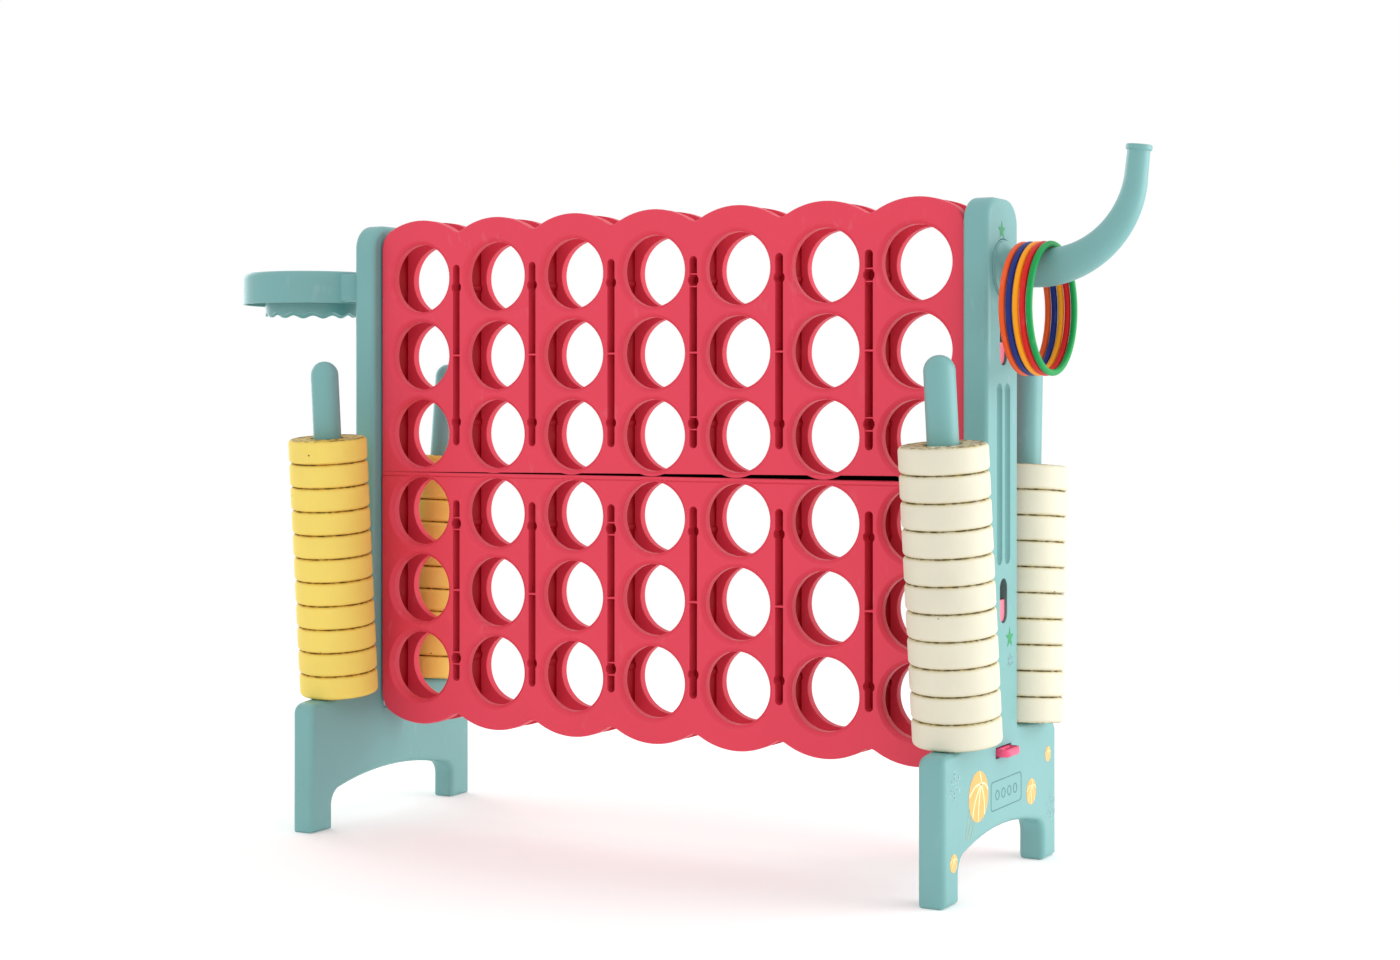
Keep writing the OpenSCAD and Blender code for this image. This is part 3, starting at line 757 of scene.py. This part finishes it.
def build_arm():
    """A tapered tube swept through its stations, closed at both ends."""
    sides = 48
    bm = bmesh.new()
    previous = None
    for centre, turn, radius in arm_stations():
        place = Matrix.Translation(centre) @ Matrix.Rotation(math.pi / 2 - turn, 4, "Y")
        ring = bmesh.ops.create_circle(
            bm, cap_ends=False, segments=sides, radius=radius, matrix=place)["verts"]
        edges = list({e for v in ring for e in v.link_edges if e.other_vert(v) in ring})
        if previous:
            bmesh.ops.bridge_loops(bm, edges=previous + edges)
        previous = edges
    bmesh.ops.holes_fill(bm, edges=bm.edges, sides=0)
    finish_piece("toss_arm", bm, "root", ["teal_moulding"], ["ring_arm"])


def build_ring(node):
    """A toss ring, as a torus in its CAD node's box."""
    low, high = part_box(node)
    thickness = high.x - low.x
    middle = (low + high) / 2
    around = (high.y - low.y) / 2 - thickness / 2
    bm = bmesh.new()
    section = arc((around, 0.0), thickness / 2, 0, 360, 20)[:-1]
    place = Matrix.Translation(middle) @ Matrix.Rotation(math.pi / 2, 4, "Y")
    revolve(bm, section, 144, place, closed=True)
    piece = node.replace("ring_", "toss_ring_")
    finish_piece(piece, bm, node, [piece + "_plastic"], [node])


def build_slider():
    """The release slider, with a well rounded handle and lightly rounded pegs."""
    edges = settings().moulding
    bm = copy_of("release_slider")
    round_edges(bm, 2.6 * MM, lambda m, e: m.x > POST_HIGH.x - 20 * MM, 4)
    round_edges(bm, edges.small_edge, lambda m, e: m.x <= PANEL_HIGH.x, 1)
    finish_piece("slider_bar", bm, "release_slider", ["pink_slider"], ["release_slider"])


# Prints on the right side frame, drawn in its (Y, Z) plane

PRINT_DEPTH = 0.22 * MM


def finish_print(name, bm, faces, material, extra=0):
    """Gives flat faces in the (Y, Z) plane the thickness of ink, and a share extra, on the frame."""
    made = bmesh.ops.extrude_face_region(bm, geom=faces)["geom"]
    tops = [v for v in made if isinstance(v, bmesh.types.BMVert)]
    bmesh.ops.translate(bm, vec=(PRINT_DEPTH * (1 + extra), 0, 0), verts=tops)
    finish_piece(name, bm, "root", [material])


def ribbon(bm, points, width):
    """A ribbon of the given width along (y, z) points, as flat quads."""
    faces = []
    rails = []
    for i, (y, z) in enumerate(points):
        before = Vector(points[max(0, i - 1)])
        after = Vector(points[min(len(points) - 1, i + 1)])
        along = (after - before).normalized()
        side = Vector((-along.y, along.x)) * width / 2
        rails.append([bm.verts.new((POST_HIGH.x, y + s * side.x, z + s * side.y)) for s in (-1, 1)])
    for first, second in zip(rails, rails[1:]):
        faces.append(bm.faces.new((first[0], second[0], second[1], first[1])))
    return faces


def filled(bm, points):
    """One flat face inside the given (y, z) points, as a list."""
    return [bm.faces.new([bm.verts.new((POST_HIGH.x, y, z)) for y, z in points])]


def ball_lines(y, z, radius):
    """Seams of a printed ball, which all meet at one place near its top."""
    lines = []
    for end_y, end_z, bow in (
            (-0.62, -0.74, -0.16), (-0.02, -0.97, -0.08), (0.58, -0.77, 0.14),
            (-0.96, 0.1, 0.14), (0.97, 0.15, 0.12), (0.1, 0.96, 0.06)):
        points = []
        for step in range(9):
            along = step / 8
            out = bow * math.sin(math.pi * along)
            across = 0.24 + (end_y - 0.24) * along + out * (1 if abs(end_z) > 0.5 else 0)
            up = 0.46 + (end_z - 0.46) * along + out * (0 if abs(end_z) > 0.5 else 1)
            points.append((y + radius * across, z + radius * up))
        lines.append(points)
    return lines


def star_points(y, z, radius):
    """Outline of a five-pointed star."""
    points = []
    for i in range(10):
        reach = radius if i % 2 == 0 else radius * 0.42
        turn = math.radians(90 + 36 * i)
        points.append((y + reach * math.cos(turn), z + reach * math.sin(turn)))
    return points


def snowflake_lines(y, z, radius):
    """Six arms with two pairs of twigs on each."""
    lines = []
    for arm in range(6):
        turn = math.radians(30 + 60 * arm)
        out = Vector((math.cos(turn), math.sin(turn)))
        middle = Vector((y, z))
        lines.append([tuple(middle + out * radius * 0.12), tuple(middle + out * radius)])
        for place in (0.45, 0.72):
            for side in (-1, 1):
                twig = Vector((math.cos(turn + side * 0.9), math.sin(turn + side * 0.9)))
                start = middle + out * radius * place
                lines.append([tuple(start), tuple(start + twig * radius * 0.26)])
    return lines


def rounded_box_points(y, z, width, height, corner):
    points = []
    for side_y, side_z, start in ((1, 1, 0), (-1, 1, 90), (-1, -1, 180), (1, -1, 270)):
        centre = (y + side_y * (width / 2 - corner), z + side_z * (height / 2 - corner))
        points += arc(centre, corner, start, start + 90, 6)
    return points


# Middle (y, z) and radius of each print in millimetres, and both ends of each streak
BALLS = [(-75, 107, 28), (86, 88, 15), (141, 124, 9), (-145, 46, 10)]
STARS = [(-6, 734, 11), (18, 273, 12)]
SNOWFLAKES = [(-143, 129, 18), (150, 60, 17), (20, 247, 9)]
STREAKS = [(-100, 96, -113, 66), (-94, 88, -107, 64), (-87, 81, -98, 62)]
BADGE_MIDDLE = (8, 100)
BADGE_LINE = 1.1 * MM


def build_balls():
    bm = bmesh.new()
    faces = []
    for y, z, radius in BALLS:
        faces += filled(bm, arc((y * MM, z * MM), radius * MM, 0, 360, 56)[:-1])
    finish_print("printed_balls", bm, faces, "ball_print")
    bm = bmesh.new()
    faces = []
    for y, z, radius in BALLS:
        for line in ball_lines(y * MM, z * MM, radius * MM):
            faces += ribbon(bm, line, max(0.8, radius * 0.07) * MM)
    finish_print("printed_lines", bm, faces, "line_print", 0.7)


def build_snowflakes():
    bm = bmesh.new()
    faces = []
    for y, z, radius in SNOWFLAKES:
        for line in snowflake_lines(y * MM, z * MM, radius * MM):
            faces += ribbon(bm, line, 1.4 * MM)
    finish_print("printed_snowflakes", bm, faces, "snow_print")


def build_streaks():
    bm = bmesh.new()
    faces = []
    for y, z, far_y, far_z in STREAKS:
        faces += ribbon(bm, [(y * MM, z * MM), (far_y * MM, far_z * MM)], 1.6 * MM)
    finish_print("printed_streaks", bm, faces, "streak_print")


def build_stars():
    bm = bmesh.new()
    faces = [face for y, z, r in STARS for face in filled(bm, star_points(y * MM, z * MM, r * MM))]
    finish_print("printed_stars", bm, faces, "star_print")


def build_badge():
    """A plain outline with four rings in it."""
    y, z = BADGE_MIDDLE
    bm = bmesh.new()
    outline = rounded_box_points(y * MM, z * MM, 92 * MM, 32 * MM, 5 * MM)
    faces = ribbon(bm, outline + outline[:2], BADGE_LINE)
    for i in range(4):
        circle = arc(((y + (i - 1.5) * 18) * MM, z * MM), 5.2 * MM, 0, 360, 28)
        faces += ribbon(bm, circle + circle[1:2], BADGE_LINE)
    finish_print("printed_badge", bm, faces, "badge_print")


# Stage

def build_floor():
    bm = bmesh.new()
    bmesh.ops.create_grid(bm, x_segments=1, y_segments=1, size=14.0)
    mesh = bpy.data.meshes.new("floor")
    bm.to_mesh(mesh)
    bm.free()
    floor = bpy.data.objects.new("floor", mesh)
    bpy.context.scene.collection.objects.link(floor)
    material, tree, shader = new_material("pale_floor")
    place = object_point(tree)
    speckle = remap(tree, noise_node(tree, 3.0, 3, place), 0.3, 0.7, 0.99, 1.0)
    tint = mix_colours(tree, "MULTIPLY", 1.0, settings().stage.floor, speckle)
    tree.links.new(tint, shader.inputs["Base Color"])
    away = tree.nodes.new("ShaderNodeVectorMath")
    away.operation = "LENGTH"
    tree.links.new(place, away.inputs[0])
    fade = settings().stage.floor_fade
    tree.links.new(
        remap(tree, away.outputs["Value"], fade * 0.5, fade, 1.0, 0.0), shader.inputs["Alpha"])
    shader.inputs["Emission Color"].default_value = (1, 1, 1, 1)
    shader.inputs["Emission Strength"].default_value = settings().stage.floor_glow
    shader.inputs["Roughness"].default_value = 0.95
    shader.inputs["Specular IOR Level"].default_value = 0.0
    mesh.materials.append(material)


def add_area_light(name, place, aim, size, power):
    light = bpy.data.lights.new(name, "AREA")
    light.shape = "DISK"
    light.size = size
    light.energy = power
    lamp = bpy.data.objects.new(name, light)
    lamp.location = place
    lamp.rotation_euler = (Vector(aim) - Vector(place)).to_track_quat("-Z", "Y").to_euler()
    bpy.context.scene.collection.objects.link(lamp)


def build_lights():
    stage = settings().stage
    aim = (MID_X, 0, SEAM_Z)
    add_area_light("key_light", (MID_X + 2.6, 1.0, 0.9), aim, 2.4, stage.key)
    add_area_light("rim_light", (MID_X - 2.7, 1.2, 0.9), aim, 2.0, stage.rim)
    world = bpy.data.worlds.new("pale_surroundings")
    world.use_nodes = True
    background = world.node_tree.nodes["Background"]
    background.inputs["Color"].default_value = (1, 1, 1, 1)
    background.inputs["Strength"].default_value = stage.world
    bpy.context.scene.world = world


def build_camera():
    stage = settings().stage
    data = bpy.data.cameras.new("camera")
    data.lens = stage.lens
    data.sensor_width = 36.0
    data.shift_y = -0.0569
    camera = bpy.data.objects.new("camera", data)
    camera.location = (MID_X + 1.36855, -2.3487, 0.5426)
    camera.rotation_euler = (math.pi / 2, 0, stage.turn)
    bpy.context.scene.collection.objects.link(camera)
    bpy.context.scene.camera = camera
    bpy.context.scene.view_settings.view_transform = "Standard"


# Operators and panel

class LAWN_OT_frames(bpy.types.Operator):
    """Round and finish the two side frames"""
    bl_idname = "lawn.frames"
    bl_label = "Side Frames"

    def execute(self, context):
        build_frame("left_frame", "left_side_frame")
        build_frame("right_frame", "right_side_frame")
        return {"FINISHED"}


class LAWN_OT_poles(bpy.types.Operator):
    """Turn the four disc poles"""
    bl_idname = "lawn.poles"
    bl_label = "Disc Poles"

    def execute(self, context):
        build_pole("left_front_pole", "yellow_front_01", ["left_poles"])
        build_pole("left_rear_pole", "yellow_rear_01", ["left_poles"])
        build_pole("right_front_pole", "cream_front_01", ["right_poles"])
        build_pole("right_rear_pole", "cream_rear_01", ["right_poles"])
        return {"FINISHED"}


class LAWN_OT_board(bpy.types.Operator):
    """Round the board's panels and add its walls and slot ribs"""
    bl_idname = "lawn.board"
    bl_label = "Board"

    def execute(self, context):
        for node in SHELLS:
            build_shell(node)
        build_dividers("upper_dividers")
        build_dividers("lower_dividers")
        build_slot_ribs()
        return {"FINISHED"}


class LAWN_OT_discs(bpy.types.Operator):
    """Turn the stored discs"""
    bl_idname = "lawn.discs"
    bl_label = "Discs"

    def execute(self, context):
        for node in DISCS:
            build_disc(node)
        return {"FINISHED"}


class LAWN_OT_hoop(bpy.types.Operator):
    """Turn the ball hoop and its wavy skirt"""
    bl_idname = "lawn.hoop"
    bl_label = "Ball Hoop"

    def execute(self, context):
        build_hoop()
        return {"FINISHED"}


class LAWN_OT_toss(bpy.types.Operator):
    """Sweep the ring toss arm and turn its rings"""
    bl_idname = "lawn.toss"
    bl_label = "Ring Toss"

    def execute(self, context):
        build_arm()
        for node in RING_NAMES:
            build_ring(node)
        return {"FINISHED"}


class LAWN_OT_slider(bpy.types.Operator):
    """Round the release slider and its handle"""
    bl_idname = "lawn.slider"
    bl_label = "Release Slider"

    def execute(self, context):
        build_slider()
        return {"FINISHED"}


class LAWN_OT_prints(bpy.types.Operator):
    """Print balls, stars, snowflakes and a plain badge on the right side frame"""
    bl_idname = "lawn.prints"
    bl_label = "Prints"

    def execute(self, context):
        build_balls()
        build_snowflakes()
        build_streaks()
        build_stars()
        build_badge()
        return {"FINISHED"}


class LAWN_OT_stage(bpy.types.Operator):
    """Add the pale floor, the soft lights and the camera"""
    bl_idname = "lawn.stage"
    bl_label = "Stage"

    def execute(self, context):
        build_floor()
        build_lights()
        build_camera()
        return {"FINISHED"}


OPERATORS = [
    LAWN_OT_stage, LAWN_OT_frames, LAWN_OT_poles, LAWN_OT_board, LAWN_OT_discs, LAWN_OT_hoop,
    LAWN_OT_toss, LAWN_OT_slider, LAWN_OT_prints]


class LAWN_PT_panel(bpy.types.Panel):
    """Builds the pieces of the lawn game set one by one"""
    bl_idname = "LAWN_PT_panel"
    bl_label = "Lawn Game Set"
    bl_space_type = "VIEW_3D"
    bl_region_type = "UI"
    bl_category = "Lawn Game"

    def draw(self, context):
        for operator in OPERATORS:
            self.layout.operator(operator.bl_idname)


CLASSES = [
    MouldingSettings, DiscSettings, HoopSettings, TossSettings, ColourSettings, StageSettings,
    LawnGameSettings, *OPERATORS, LAWN_PT_panel]


def register():
    for cls in CLASSES:
        bpy.utils.register_class(cls)
    bpy.types.Scene.lawn_game = bpy.props.PointerProperty(type=LawnGameSettings)


def unregister():
    del bpy.types.Scene.lawn_game
    for cls in reversed(CLASSES):
        bpy.utils.unregister_class(cls)


def main():
    register()
    for operator in OPERATORS:
        group, name = operator.bl_idname.split(".")
        getattr(getattr(bpy.ops, group), name)()


if __name__ == "__main__":
    main()
